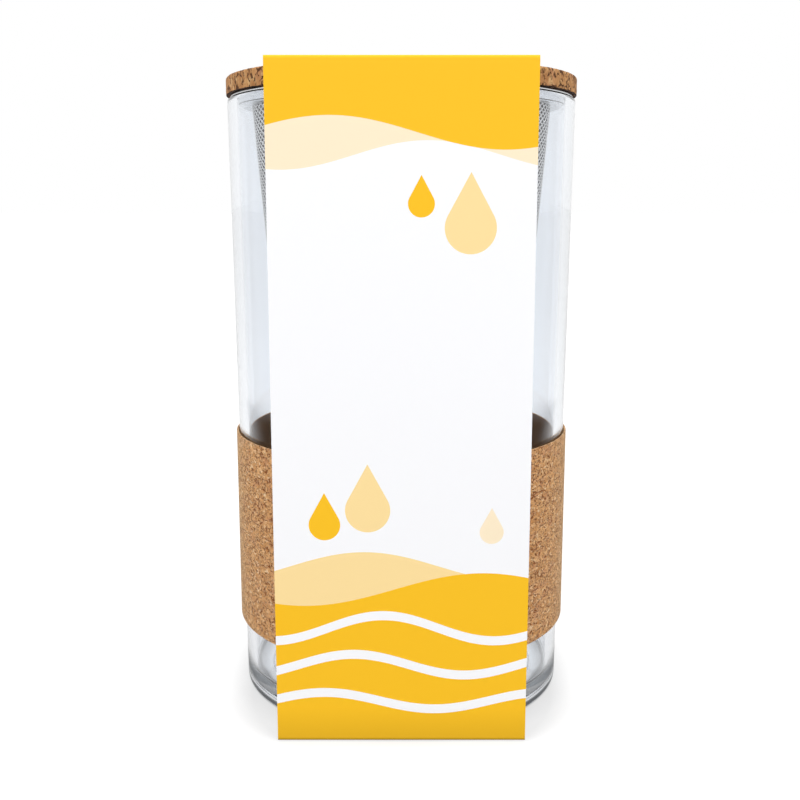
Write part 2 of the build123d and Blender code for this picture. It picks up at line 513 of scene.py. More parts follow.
def make_water_drop():
    """Where a place on the card lies inside a drop: a round bottom with straight sides to a point."""
    group, given, out = new_group(
        "water_drop",
        {"Across": NUMBER, "Up": NUMBER, "Middle Across": NUMBER, "Middle Up": NUMBER, "Radius": NUMBER},
        {"Inside": NUMBER},
    )
    point_height = 2.1
    slope = 1 / point_height
    steep = math.sqrt(1 - slope ** 2)
    across = sums(group, "ABSOLUTE", sums(group, "SUBTRACT", given["Across"], given["Middle Across"]))
    up = sums(group, "SUBTRACT", given["Up"], given["Middle Up"])
    radius = given["Radius"]
    squares = sums(group, "MULTIPLY_ADD", across, across, sums(group, "MULTIPLY", up, up))
    in_round = sums(group, "LESS_THAN", sums(group, "SQRT", squares), radius)
    side = sums(group, "MULTIPLY_ADD", across, steep, sums(group, "MULTIPLY", up, slope))
    under_side = sums(group, "LESS_THAN", side, radius)
    over_round = sums(group, "GREATER_THAN", up, sums(group, "MULTIPLY", radius, slope))
    in_point = sums(group, "MULTIPLY", under_side, over_round)
    group.links.new(sums(group, "MAXIMUM", in_round, in_point), out["Inside"])
    return group


CORK_GRAIN = make_cork_grain()
FIBRE_MAT = make_fibre_mat()
PAPER_TOOTH = make_paper_tooth()
STEEL_FINISH = make_steel_finish()
WAVE_EDGE = make_wave_edge()
WATER_DROP = make_water_drop()


# Materials

CORK_BLUSH = "#C68A68"
GLASS_TINT = "#F6F9FD"
GLASS_SHADE = "#F4F7FA"


def clear_glass():
    """Moulded clear glass with a faint ripple and thin smears; lamps and fill light pass straight in."""
    material, tree = new_material("clear_glass")
    spot = object_spot(tree)
    smears = spread(tree, noisy(tree, spot, 22.0), 0.45, 0.8, 0.0, 0.02)
    ripple = noisy(tree, stretched(tree, spot, 1.0, 1.0, 0.35), 45.0, 1.0)
    glass = add(tree, "ShaderNodeBsdfPrincipled", {
        "Base Color": colour(GLASS_TINT), "Roughness": smears, "IOR": 1.5, "Transmission Weight": 1.0,
        "Normal": bumped(tree, ripple, 0.02 * MM),
    })
    clear = add(tree, "ShaderNodeBsdfTransparent", {"Color": colour(GLASS_SHADE)})
    path = add(tree, "ShaderNodeLightPath")
    lamps_pass = add(tree, "ShaderNodeMixShader", {
        0: path.outputs["Is Shadow Ray"], 1: glass.outputs[0], 2: clear.outputs[0],
    })
    fill_passes = add(tree, "ShaderNodeMixShader", {
        0: path.outputs["Is Diffuse Ray"], 1: lamps_pass.outputs[0], 2: clear.outputs[0],
    })
    shown(tree, fill_passes)
    return material


def cork(name, granules, strokes, speck_share, tones, pale, dark, depth, flatness=1.0, bloom=0.0):
    """Pressed cork; strokes are their width and share, tones its dark and light granules.

    flatness is how many times wider than high the granules lie, bloom the weight of its dusty sheen.
    """
    pale_share = 0.7
    blush_share = 0.45
    material, tree = new_material(name)
    spot = stretched(tree, object_spot(tree), 1.0, 1.0, flatness)
    grain = add(tree, "ShaderNodeGroup", {
        "Spot": spot, "Granules": granules, "Stroke Width": strokes[0], "Stroke Share": strokes[1],
        "Speck Share": speck_share,
    }, node_tree=CORK_GRAIN)
    share = spread(tree, grain.outputs["Tone"], 0.3, 0.85)
    body = mixed(tree, share, colour(tones[0]), colour(tones[1]))
    blush = spread(tree, noisy(tree, spot, granules * 0.4, 1.0), 0.5, 0.7, 0.0, blush_share)
    warmed = mixed(tree, blush, body, colour(CORK_BLUSH))
    lifted = mixed(tree, sums(tree, "MULTIPLY", grain.outputs["Pale"], pale_share), warmed, colour(pale))
    paint = mixed(tree, grain.outputs["Dark"], lifted, colour(dark))
    surface = add(tree, "ShaderNodeBsdfPrincipled", {
        "Base Color": paint, "Roughness": spread(tree, grain.outputs["Tone"], 0.0, 1.0, 0.72, 0.9),
        "Specular IOR Level": 0.3, "Normal": bumped(tree, grain.outputs["Height"], depth),
        "Sheen Weight": bloom, "Sheen Roughness": 0.3, "Sheen Tint": colour(pale),
    })
    shown(tree, surface)
    return material


def cork_sheet():
    """The sleeve's cork: fine flat granules, brown specks and a dusty sheen."""
    return cork(
        "cork_sheet", granules=660.0, strokes=(0.24, 0.65), speck_share=0.68, tones=("#B87C44", "#E8B47C"),
        pale="#FFE2B8", dark="#854A1A", depth=0.15 * MM, flatness=1.6, bloom=1.0,
    )


def lid_cork():
    """The lid's cork: coarser granules with dark strokes along their seams."""
    return cork(
        "lid_cork", granules=440.0, strokes=(0.26, 0.78), speck_share=0.32, tones=("#A06C3D", "#C89560"),
        pale="#DFB882", dark="#54300F", depth=0.3 * MM,
    )


def painted_shade_cork():
    """The lid's underside in near-black cork: painted shade for the shadow under the lid."""
    return cork(
        "painted_shade_cork", granules=420.0, strokes=(0.2, 0.6), speck_share=0.25, tones=("#2E1C10", "#4A2F1B"),
        pale="#5C3D24", dark="#1E120A", depth=0.3 * MM,
    )


def backing_painted_shade():
    """The plain brown backing on the sleeve's inner face, kept darker than the cork: partly its own tone,
    partly painted shade for the sleeve's shaded inside.
    """
    material, tree = new_material("backing_painted_shade")
    mat = add(tree, "ShaderNodeGroup", {"Spot": object_spot(tree), "Fibres": 900.0}, node_tree=FIBRE_MAT)
    paint = mixed(tree, mat.outputs["Tone"], colour("#9C683C"), colour("#C48F5C"))
    surface = add(tree, "ShaderNodeBsdfPrincipled", {
        "Base Color": paint, "Roughness": spread(tree, mat.outputs["Tone"], 0.0, 1.0, 0.6, 0.85),
        "Normal": bumped(tree, mat.outputs["Height"], 0.1 * MM),
    })
    shown(tree, surface)
    return material


def steel(name, tones, lines, smooth, rough):
    """Rolled stainless steel; smooth and rough are the ends of its roughness."""
    material, tree = new_material(name)
    inputs = {"Spot": object_spot(tree), "Lines": lines}
    finish = add(tree, "ShaderNodeGroup", inputs, node_tree=STEEL_FINISH)
    surface = add(tree, "ShaderNodeBsdfPrincipled", {
        "Base Color": mixed(tree, finish.outputs["Tone"], colour(tones[0]), colour(tones[1])),
        "Metallic": 1.0,
        "Roughness": spread(tree, finish.outputs["Tone"], 0.25, 0.75, smooth, rough),
        "Normal": bumped(tree, finish.outputs["Lines"], 0.02 * MM),
    })
    shown(tree, surface)
    return material


def fibrous(name, fibres, tones, roughness, depth, sheen=0.0):
    """Felt, coir or cloth made of tangled fibres."""
    material, tree = new_material(name)
    mat = add(tree, "ShaderNodeGroup", {"Spot": object_spot(tree), "Fibres": fibres}, node_tree=FIBRE_MAT)
    share = spread(tree, mat.outputs["Tone"], 0.35, 0.7)
    surface = add(tree, "ShaderNodeBsdfPrincipled", {
        "Base Color": mixed(tree, share, colour(tones[0]), colour(tones[1])),
        "Roughness": spread(tree, mat.outputs["Tone"], 0.3, 0.7, roughness, 1.0),
        "Sheen Weight": sheen,
        "Normal": bumped(tree, mat.outputs["Height"], depth),
    })
    shown(tree, surface)
    return material


def paper(name, tones, tooth, roughness):
    """Plain paper or unprinted card."""
    material, tree = new_material(name)
    grain = add(tree, "ShaderNodeGroup", {"Spot": object_spot(tree), "Tooth": tooth}, node_tree=PAPER_TOOTH)
    share = spread(tree, grain.outputs["Tone"], 0.35, 0.65)
    surface = add(tree, "ShaderNodeBsdfPrincipled", {
        "Base Color": mixed(tree, share, colour(tones[0]), colour(tones[1])),
        "Roughness": spread(tree, grain.outputs["Tone"], 0.3, 0.7, roughness, roughness + 0.15),
        "Specular IOR Level": 0.3,
        "Normal": bumped(tree, grain.outputs["Height"], 0.03 * MM),
    })
    shown(tree, surface)
    return material


# Colours of the printed card
GOLDEN = "#FCC325"
CREAM = "#FEE0A0"
PALE = "#FEECCC"
CARD_WHITE = "#FCFCFE"
CARD_CLOUD = "#FAFAFC"

# Waves of the print in mm, from the back layer to the front one: level, rise, length, shift, side, colour
PRINT_WAVES = [
    (158.0, 3.6, 74.0, 12.0, "Above", PALE),
    (163.5, 4.2, 88.0, 40.0, "Above", GOLDEN),
    (50.5, 4.0, 80.0, 30.0, "Below", CREAM),
    (44.0, 4.6, 96.0, 2.0, "Below", GOLDEN),
    (33.0, 3.6, 60.0, 20.0, "Line", CARD_WHITE),
    (22.5, 3.0, 60.0, 28.0, "Line", CARD_WHITE),
    (12.0, 2.4, 60.0, 36.0, "Line", CARD_WHITE),
]
PRINT_LINE = 2.6

# Drops of the print in mm: across, up, radius, colour
PRINT_DROPS = [
    (17.5, 140.0, 6.6, CREAM),
    (5.0, 146.0, 3.4, GOLDEN),
    (-20.5, 62.0, 4.2, GOLDEN),
    (-9.0, 66.0, 6.0, CREAM),
    (24.0, 60.0, 3.2, PALE),
]

# Painted shade on the card: what it keeps of its tone near the table, and at its cut edge as a painted
# contact shadow, and how far up
PAINTED_FOOT_SHADE = 0.8
PAINTED_FOOT_SHADE_END = 10.0 * MM
PAINTED_EDGE_SHADOW = 0.35
PAINTED_EDGE_SHADOW_END = 0.7 * MM


def printed_card():
    """White card printed with golden waves at its ends and a few falling drops."""
    material, tree = new_material("printed_card")
    spot = object_spot(tree)
    grain = add(tree, "ShaderNodeGroup", {"Spot": spot, "Tooth": 3200.0}, node_tree=PAPER_TOOTH)
    sides = add(tree, "ShaderNodeSeparateXYZ", {0: spot}).outputs
    paint = mixed(tree, grain.outputs["Tone"], colour(CARD_CLOUD), colour(CARD_WHITE))
    for level, rise, length, shift, side, ink in PRINT_WAVES:
        wave = add(tree, "ShaderNodeGroup", {
            "Across": sides["X"], "Up": sides["Z"], "Level": level * MM, "Rise": rise * MM,
            "Length": length * MM, "Shift": shift * MM, "Line Width": PRINT_LINE * MM,
        }, node_tree=WAVE_EDGE)
        paint = mixed(tree, wave.outputs[side], paint, colour(ink))
    for across, up, radius, ink in PRINT_DROPS:
        drop = add(tree, "ShaderNodeGroup", {
            "Across": sides["X"], "Up": sides["Z"], "Middle Across": across * MM, "Middle Up": up * MM,
            "Radius": radius * MM,
        }, node_tree=WATER_DROP)
        paint = mixed(tree, drop.outputs["Inside"], paint, colour(ink))
    # The print is darkened towards the table and along its bottom edge: painted shade and a painted contact
    # shadow.
    foot_shade = spread(tree, sides["Z"], 0.0, PAINTED_FOOT_SHADE_END, PAINTED_FOOT_SHADE, 1.0)
    edge_shadow = spread(tree, sides["Z"], band_low.z, band_low.z + PAINTED_EDGE_SHADOW_END, PAINTED_EDGE_SHADOW, 1.0)
    inputs = {0: paint, "Scale": sums(tree, "MULTIPLY", foot_shade, edge_shadow)}
    paint = add(tree, "ShaderNodeVectorMath", inputs, operation="SCALE").outputs[0]
    surface = add(tree, "ShaderNodeBsdfPrincipled", {
        "Base Color": paint, "Roughness": spread(tree, grain.outputs["Tone"], 0.3, 0.7, 0.56, 0.66),
        "Specular IOR Level": 0.18, "Normal": bumped(tree, grain.outputs["Height"], 0.012 * MM),
    })
    shown(tree, surface)
    return material


def sachet_film():
    """Pale glossy packing film with faint clouds and creases."""
    material, tree = new_material("sachet_film")
    spot = object_spot(tree)
    creases = noisy(tree, spot, 160.0, 4.0)
    clouds = noisy(tree, spot, 60.0, 2.0)
    surface = add(tree, "ShaderNodeBsdfPrincipled", {
        "Base Color": mixed(tree, clouds, colour("#DDE1E3"), colour("#EEF1F2")),
        "Roughness": spread(tree, clouds, 0.3, 0.7, 0.22, 0.36),
        "Normal": bumped(tree, creases, 0.12 * MM),
    })
    shown(tree, surface)
    return material


# Pieces of the jar

def tumbler_glass():
    """The tapered tumbler, with a thick floor and a shallow recess under its base."""
    floor_radius = glass_foot + GLASS_TAPER * GLASS_FLOOR / glass_high.z - GLASS_WALL
    outline = rounded([
        (0.0, BASE_RECESS, 0.0),
        (glass_foot - BASE_RING, BASE_RECESS, RECESS_ROUND),
        (glass_foot - BASE_RING, 0.0, RING_ROUND),
        (glass_foot, 0.0, GLASS_BASE_ROUND),
        (glass_high.x, glass_high.z, GLASS_RIM_ROUND),
        (glass_high.x - GLASS_WALL, glass_high.z, GLASS_RIM_ROUND),
        (floor_radius, GLASS_FLOOR, GLASS_FLOOR_ROUND),
        (0.0, GLASS_FLOOR, 0.0),
    ])
    mesh = turned("tumbler_glass", outline)
    piece("tumbler_glass", mesh, [clear_glass()], "jar", "clear_glass", "glass_tumbler")


def sleeve_cork():
    """The cork sheet round the glass, with its seam at the back and a plain backing inside whose darker
    tone is partly painted shade.
    """
    looks_inwards = -0.7
    outside = sleeve_high.x
    inside = outside - SLEEVE_SHEET
    outline = finer(rounded([
        (inside, sleeve_low.z, SLEEVE_EDGE_ROUND),
        (outside, sleeve_low.z, SLEEVE_EDGE_ROUND),
        (outside, sleeve_high.z, SLEEVE_EDGE_ROUND),
        (inside, sleeve_high.z, SLEEVE_EDGE_ROUND),
    ]), longest=1.5 * MM)
    half_seam = SLEEVE_SEAM / 2 / outside
    start = math.pi / 2 + half_seam
    mesh = turned("sleeve_cork", outline, start, math.tau - 2 * half_seam, SLEEVE_SEGMENTS)
    piece("sleeve_cork", mesh, [cork_sheet(), backing_painted_shade()], "sleeve", "cork_sheet", "cork_sleeve")
    for face in mesh.polygons:
        outwards = Vector((face.center.x, face.center.y)).normalized()
        face.material_index = 1 if outwards.dot(Vector(face.normal[:2])) < looks_inwards else 0


# Pieces of the net pot

def pot_rim(bright_steel, rim_painted_shade):
    """The pot's pressed rim; the crease under its lip and the corner under its collar get near-black steel
    as painted shade.
    """
    looks_down = -0.3
    lip = rim_high.x
    collar = glass_high.x - GLASS_WALL - POT_COLLAR_GAP
    outline = rounded([
        (lip, glass_high.z, POT_ROLL),
        (lip, rim_high.z, POT_ROLL),
        (collar - POT_SHEET, rim_high.z, COLLAR_TOP_ROUND),
        (collar - POT_SHEET, rim_low.z + POT_SHEET, COLLAR_INSIDE_ROUND),
        (POT_HOLE_RADIUS, rim_low.z + POT_SHEET, POT_ROLL),
        (POT_HOLE_RADIUS, rim_low.z, POT_ROLL),
        (collar, rim_low.z, COLLAR_FOOT_ROUND),
        (collar, glass_high.z, LIP_CREASE_ROUND),
    ])
    mesh = turned("pot_rim", outline)
    # The crease under the lip and the corner under the collar take the near-black steel: painted shade.
    for face in mesh.polygons:
        centre = face.center
        under_lip = face.normal.z < looks_down and centre.z > glass_high.z - POT_ROLL
        at_collar = math.hypot(centre.x, centre.y) > collar - PAINTED_SHADE_CORNER_WIDE
        at_foot = centre.z < rim_low.z + PAINTED_SHADE_CORNER_HIGH and face.normal.z < 0
        face.material_index = 1 if under_lip or (at_collar and at_foot) else 0
    piece("pot_rim", mesh, [bright_steel, rim_painted_shade], "net_pot", "pressed_steel", "net_pot_rim")


def pot_strands(name, lean, outer_steel, back_painted_shade):
    """One family of the expanded mesh's strands: all lean one way and cross the other family.

    Each strand has a low bright front and a deep back in near-black steel, which is painted shade, so that
    the holes look dark from outside.
    """
    steps = np.arange(MESH_ROWS + 1)
    share = steps / MESH_ROWS
    rise = mesh_high.z - mesh_low.z
    middle = mesh_high.x - STRAND_FRONT - MESH_TAPER * (1 - share)
    pitch = math.tau / MESH_STRANDS
    angles = pitch * np.arange(MESH_STRANDS)[:, None] + lean * pitch / 2 * steps[None, :]
    outwards = np.stack([np.cos(angles), np.sin(angles), np.zeros_like(angles)], axis=2)
    sideways = np.stack([-np.sin(angles), np.cos(angles), np.zeros_like(angles)], axis=2)
    upwards = np.array([0.0, 0.0, 1.0])
    centres = outwards * middle[None, :, None] + upwards * (mesh_low.z + share * rise)[None, :, None]
    row = rise / MESH_ROWS
    run = lean * middle * pitch / 2
    length = np.sqrt(row ** 2 + run ** 2)
    across = sideways * (row / length)[None, :, None] - upwards * (run / length)[None, :, None]
    half_wide = across * STRAND_WIDE / 2
    ring = [outwards * STRAND_FRONT, half_wide, -outwards * STRAND_BACK, -half_wide]
    corners = np.stack([centres + side for side in ring], axis=2).reshape(-1, 3)
    index = np.arange(len(corners)).reshape(MESH_STRANDS, MESH_ROWS + 1, len(ring))
    following = np.roll(index, -1, axis=2)
    quads = [index[:, :-1], following[:, :-1], following[:, 1:], index[:, 1:]]
    faces = np.stack(quads, axis=3).reshape(-1, 4)
    mesh = bpy.data.meshes.new(name)
    mesh.from_pydata(corners.tolist(), [], faces.tolist())
    mesh.shade_smooth()
    # The back faces take the near-black steel: painted shade inside the pot.
    front_and_back = [0, 1, 1, 0]
    mesh.polygons.foreach_set("material_index", front_and_back * (len(faces) // len(ring)))
    piece(name, mesh, [outer_steel, back_painted_shade], "net_pot", "steel_mesh", "net_pot_mesh")


def pot_base(bright_steel):
    """The pot's stamped bottom, which is the CAD node itself in bright steel."""
    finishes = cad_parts["net_pot_base"].data.materials
    finishes.clear()
    finishes.append(bright_steel)


def pot_wick():
    """The felt strip that hangs over the pot's bottom with both ends in the reservoir."""
    leg = wick_high.x - WICK_SHEET / 2
    top = wick_high.z - WICK_SHEET / 2
    path = finer(rounded([
        (-leg, wick_low.z, 0.0),
        (-leg, top, WICK_BEND),
        (leg, top, WICK_BEND),
        (leg, wick_low.z, 0.0),
    ]), longest=0.8 * MM, closed=False)
    along = steps_between(wick_low.y, wick_high.y, 20)
    mesh = ribbon("wick_felt", path, WICK_SHEET, along, lambda flat, step: (flat.x, step, flat.y))
    roughened(mesh, depth=0.25 * MM, grain=1.1 * MM)
    tones = ("#C9C4B8", "#EFECE4")
    felt = fibrous("wick_felt", fibres=2600.0, tones=tones, roughness=0.9, depth=0.25 * MM, sheen=0.3)
    made = piece("wick_felt", mesh, [felt] * 3, "net_pot", "wick_felt", "wick")


def coir_disc():
    """The pressed disc of coir on the pot's bottom."""
    radius = medium_high.x
    outline = finer(rounded([
        (0.0, medium_low.z, 0.0),
        (radius, medium_low.z, MEDIUM_ROUND),
        (radius, medium_high.z, MEDIUM_ROUND),
        (0.0, medium_high.z, 0.0),
    ]), longest=1.2 * MM)
    mesh = turned("coir_disc", outline)
    roughened(mesh, depth=0.9 * MM, grain=2.2 * MM)
    coir = fibrous("coir", fibres=900.0, tones=("#2B1A10", "#6E4A2C"), roughness=0.85, depth=0.8 * MM)
    piece("coir_disc", mesh, [coir], "net_pot", "coir", "growing_medium")


# The packets

def half_depth(node):
    """Half the depth of a CAD node's box."""
    low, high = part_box(node)
    return (high.y - low.y) / 2


def leaflet_folded():
    """A sheet of paper folded to and fro in panels."""
    low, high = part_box("leaflet")
    step_back = (high.y - low.y - LEAFLET_PAPER) / (LEAFLET_PANELS - 1)
    near = low.y + LEAFLET_PAPER / 2
    corners = []
    for panel in range(LEAFLET_PANELS):
        ends = (low.x, high.x) if panel % 2 == 0 else (high.x, low.x)
        for end in ends:
            corners.append((end, near + panel * step_back, step_back / 2))
    for place in (0, -1):
        corners[place] = (*corners[place][:2], 0.0)
    path = finer(rounded(corners), longest=4.0 * MM, closed=False)
    along = steps_between(low.z, high.z, 16)
    mesh = ribbon("leaflet_folded", path, LEAFLET_PAPER, along, lambda flat, step: (flat.x, flat.y, step))
    sheet = paper("leaflet_paper", tones=("#E2E1DE", "#F1F0EE"), tooth=2400.0, roughness=0.6)
    piece("leaflet_folded", mesh, [sheet] * 3, "packets", "leaflet_paper", "leaflet")


def seed_packet(name, node, kraft):
    """A flat paper packet with its seeds at the bottom."""
    half = half_depth(node)

    def gap(across, up):
        full = (1 - across ** 4) * (1 - up ** 4) * (0.75 - 0.25 * up)
        lumps = 0.5 + 0.5 * noise.noise(Vector((across * 9, half * 5000, up * 9)))
        return SEAL_EDGE / 2 + (half - SEAL_EDGE / 2) * full * (0.85 + 0.15 * lumps)

    mesh = pouch(name, node, 48, 52, gap)
    piece(name, mesh, [kraft], "packets", "packet_paper", node)


def seed_packets():
    """Two seed packets of the same paper."""
    kraft = paper("packet_paper", tones=("#CDB68C", "#E3D2AE"), tooth=1500.0, roughness=0.65)
    seed_packet("seed_packet_a", "seed_packet_front", kraft)
    seed_packet("seed_packet_b", "seed_packet_back", kraft)


def plant_food_pouch():
    """A plump film pouch with a ribbed seal at its top and bottom."""
    half = half_depth("plant_food_sachet")
    seal = 0.78
    seal_ribs = 4

    def gap(across, up):
        if abs(up) > seal:
            ridge = math.sin((abs(up) - seal) / (1 - seal) * math.tau * seal_ribs)
            return SEAL_EDGE * (0.8 + 0.4 * ridge)
        full = math.sqrt(max(0.0, 1 - (up / seal) ** 2)) * math.sqrt(max(0.0, 1 - across ** 4))
        creases = 0.85 + 0.15 * noise.noise(Vector((across * 6, up * 3, 0.3)))
        return SEAL_EDGE * 0.8 + (half - SEAL_EDGE) * full * creases

    mesh = pouch("plant_food_pouch", "plant_food_sachet", 60, 180, gap)
    made = piece("plant_food_pouch", mesh, [sachet_film()], "packets", "sachet_film", "plant_food_sachet")


def carbon_pouch():
    """A cloth pouch of carbon grains with a flat seal all round."""
    half = half_depth("carbon_sachet")
    seal = 0.86

    def gap(across, up):
        if max(abs(across), abs(up)) > seal:
            return SEAL_EDGE
        full = (1 - (across / seal) ** 4) * (1 - (up / seal) ** 4)
        grains = 0.82 + 0.18 * noise.noise(Vector((across * 14, up * 14, 2.0)))
        return SEAL_EDGE + (half - SEAL_EDGE) * math.sqrt(max(0.0, full)) * grains

    mesh = pouch("carbon_pouch", "carbon_sachet", 64, 66, gap)
    tones = ("#1C1C1D", "#3A3A3B")
    cloth = fibrous("carbon_cloth", fibres=1800.0, tones=tones, roughness=0.8, depth=0.15 * MM, sheen=0.2)
    made = piece("carbon_pouch", mesh, [cloth], "packets", "carbon_cloth", "carbon_sachet")


# The lid and the band

def cork_disc(name, node, foot_round, finishes):
    """One of the lid's two cork discs; its underside has the second finish, a near-black cork that is
    painted shade.
    """
    looks_down = -0.35
    low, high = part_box(node)
    outline = finer(rounded([
        (0.0, low.z, 0.0),
        (high.x, low.z, foot_round),
        (high.x, high.z, LID_TOP_ROUND),
        (0.0, high.z, 0.0),
    ]), longest=1.0 * MM)
    mesh = turned(name, outline, segments=LID_SEGMENTS)
    roughened(mesh, depth=0.16 * MM, grain=1.3 * MM)
    # Faces that look downwards take the near-black cork: painted shade.
    for face in mesh.polygons:
        face.material_index = 1 if face.normal.z < looks_down else 0
    piece(name, mesh, finishes, "lid", "lid_cork", node)


def lid():
    """The lid's disc and the plug under it."""
    finishes = [lid_cork(), painted_shade_cork()]
    cork_disc("lid_disc_cork", "lid_disc", LID_FOOT_ROUND, finishes)
    cork_disc("lid_plug_cork", "lid_plug", PLUG_FOOT_ROUND, finishes)


def band():
    """The folded card: up the front, over the lid and down the back."""
    front = band_low.y + CARD / 2
    back = band_high.y - CARD / 2
    top = band_high.z - CARD / 2
    path = finer(rounded([
        (front, band_low.z, 0.0),
        (front, top, CARD_FOLD),
        (back, top, CARD_FOLD),
        (back, band_low.z, 0.0),
    ]), longest=4.0 * MM, closed=False)
    along = steps_between(band_low.x, band_high.x, 16)
    mesh = ribbon("band_card", path, CARD, along, lambda flat, step: (step, flat.x, flat.y))
    inside = paper("card_inside", tones=("#ECEBE8", "#F4F3F1"), tooth=1800.0, roughness=0.7)
    core = paper("card_core", tones=("#E4E2DD", "#F0EEEA"), tooth=2600.0, roughness=0.8)
    piece("band_card", mesh, [printed_card(), inside, core], "band", "printed_card", "card_band")


# Stage, light and camera

WHITE = "#FFFFFF"
BLACK = "#000000"

# The camera that the photograph's edges give
PHOTO_PLACE = (-0.0004, -0.32365, 0.14542)
PHOTO_TILT = 10.34
PHOTO_LENS = 47.80
SENSOR_WIDTH = 36.0

# The floor's tones, and its glow from the tumbler's foot outwards, kept low at the foot as painted contact
# shadow: start, end, how much more
FLOOR_REACH = 20.0
FLOOR_SEEN = "#949494"
FLOOR_BOUNCE = "#606060"
FLOOR_GLOW_RISES = [(0.0, 0.0012, 0.54), (0.0, 0.008, 0.08), (0.008, 0.35, 0.08)]

# The painted contact shadow under the base ring, as shares of the ring: wide in front of the turn, narrow
# behind it
CONTACT_EASE = 1.2 * MM
CONTACT_FRONT = 0.65
CONTACT_BACK = 0.2
CONTACT_TURN = (-14.0 * MM, -4.0 * MM)

# The jar's shade on the floor, drawn out forwards and backwards, and the open floor round it
SHADE_FORWARD = 20.0 * MM
SHADE_BACKWARD = 30.0 * MM
SHADE_EDGE = 4.0 * MM
AHEAD_FULL = -8.0 * MM
AHEAD_NONE = 2.0 * MM
OPEN_FLOOR_GLOW = 0.16

# What glass and steel show of the floor: dark at the near sides as a painted dark reflection, and in a ring
# round the foot as painted contact shadow
SIDE_POINT = 0.32365
SIDE_TURN = (0.5, 0.85)
SIDE_SHARE = 0.06
SIDE_END = (0.42, 0.51)
FOOT_INSIDE = -3.0 * MM
FOOT_OUTSIDE = 4.0 * MM
FOOT_EASE = 4.0 * MM
FOOT_SHARE = 0.45

# The room, and the lamps: name, place, width, height, watts
FILL_LIGHT = 0.85
ROOM_NEAR = "#B8BABE"
ROOM_TURN = (-0.95, -0.6)
LAMPS = [
    ("lamp_left", (-0.75, -0.65, 0.45), 0.6, 0.8, 5.5),
    ("lamp_right", (0.75, -0.65, 0.45), 0.6, 0.8, 5.5),
    ("lamp_over", (0.0, -0.25, 1.1), 0.9, 0.7, 2.4),
]


def beside(tree, value, low, high):
    """How far a value lies outside a range; 0 or less inside it."""
    under = sums(tree, "SUBTRACT", low, value)
    over = sums(tree, "SUBTRACT", value, high)
    return sums(tree, "MAXIMUM", under, over)


def from_middle(tree, spot):
    """How far a place lies from the middle."""
    return add(tree, "ShaderNodeVectorMath", {0: spot}, operation="LENGTH").outputs["Value"]


def seen_rays(tree, path):
    """1 for what the camera sees, in mirrors and through glass as well, and 0 for fill light."""
    seen = sums(tree, "MAXIMUM", path.outputs["Is Camera Ray"], path.outputs["Is Glossy Ray"])
    return sums(tree, "MAXIMUM", seen, path.outputs["Is Transmission Ray"])


def contact_glow(tree, distance, sides):
    """The floor's glow, which starts at the painted contact shadow under the base ring."""
    ring_front = glass_foot - CONTACT_FRONT * BASE_RING
    ring_back = glass_foot - CONTACT_BACK * BASE_RING
    ring_inside = spread(tree, sides["Y"], *CONTACT_TURN, ring_front, ring_back)
    away = beside(tree, distance, ring_inside, glass_foot - CONTACT_EASE)
    strength = 0.0
    for start, end, more in FLOOR_GLOW_RISES:
        strength = sums(tree, "ADD", strength, spread(tree, away, start, end, 0.0, more))
    return strength


def open_floor_glow(tree, distance, sides):
    """More glow outside the jar's shade, which is the foot's circle drawn out forwards and backwards."""
    nearest = sums(tree, "MINIMUM", sums(tree, "MAXIMUM", sides["Y"], -SHADE_FORWARD), SHADE_BACKWARD)
    past = sums(tree, "SUBTRACT", sides["Y"], nearest)
    beyond = from_middle(tree, add(tree, "ShaderNodeCombineXYZ", {0: sides["X"], 1: past}).outputs[0])
    around = spread(tree, beyond, glass_foot - SHADE_EDGE, glass_foot + SHADE_EDGE, 0.0, OPEN_FLOOR_GLOW)
    front = band_low.y
    ahead = spread(tree, sides["Y"], front + AHEAD_FULL, front + AHEAD_NONE, OPEN_FLOOR_GLOW, 0.0)
    glow = sums(tree, "MAXIMUM", around, ahead)
    return sums(tree, "MULTIPLY", glow, spread(tree, distance, glass_foot - CONTACT_EASE, glass_foot))


def floor_in_glass(tree, distance, sides):
    """The share of the floor's tone that glass and steel show, lower at the near sides and round the foot
    as painted shade.
    """
    deep = sums(tree, "ADD", sums(tree, "ABSOLUTE", sides["Y"]), SIDE_POINT)
    aside = sums(tree, "DIVIDE", sums(tree, "ABSOLUTE", sides["X"]), deep)
    share = spread(tree, aside, *SIDE_TURN, 1.0, SIDE_SHARE)
    share = sums(tree, "MAXIMUM", share, spread(tree, distance, *SIDE_END))
    from_foot = beside(tree, distance, glass_foot + FOOT_INSIDE, glass_foot + FOOT_OUTSIDE)
    return sums(tree, "MULTIPLY", share, spread(tree, from_foot, 0.0, FOOT_EASE, FOOT_SHARE, 1.0))


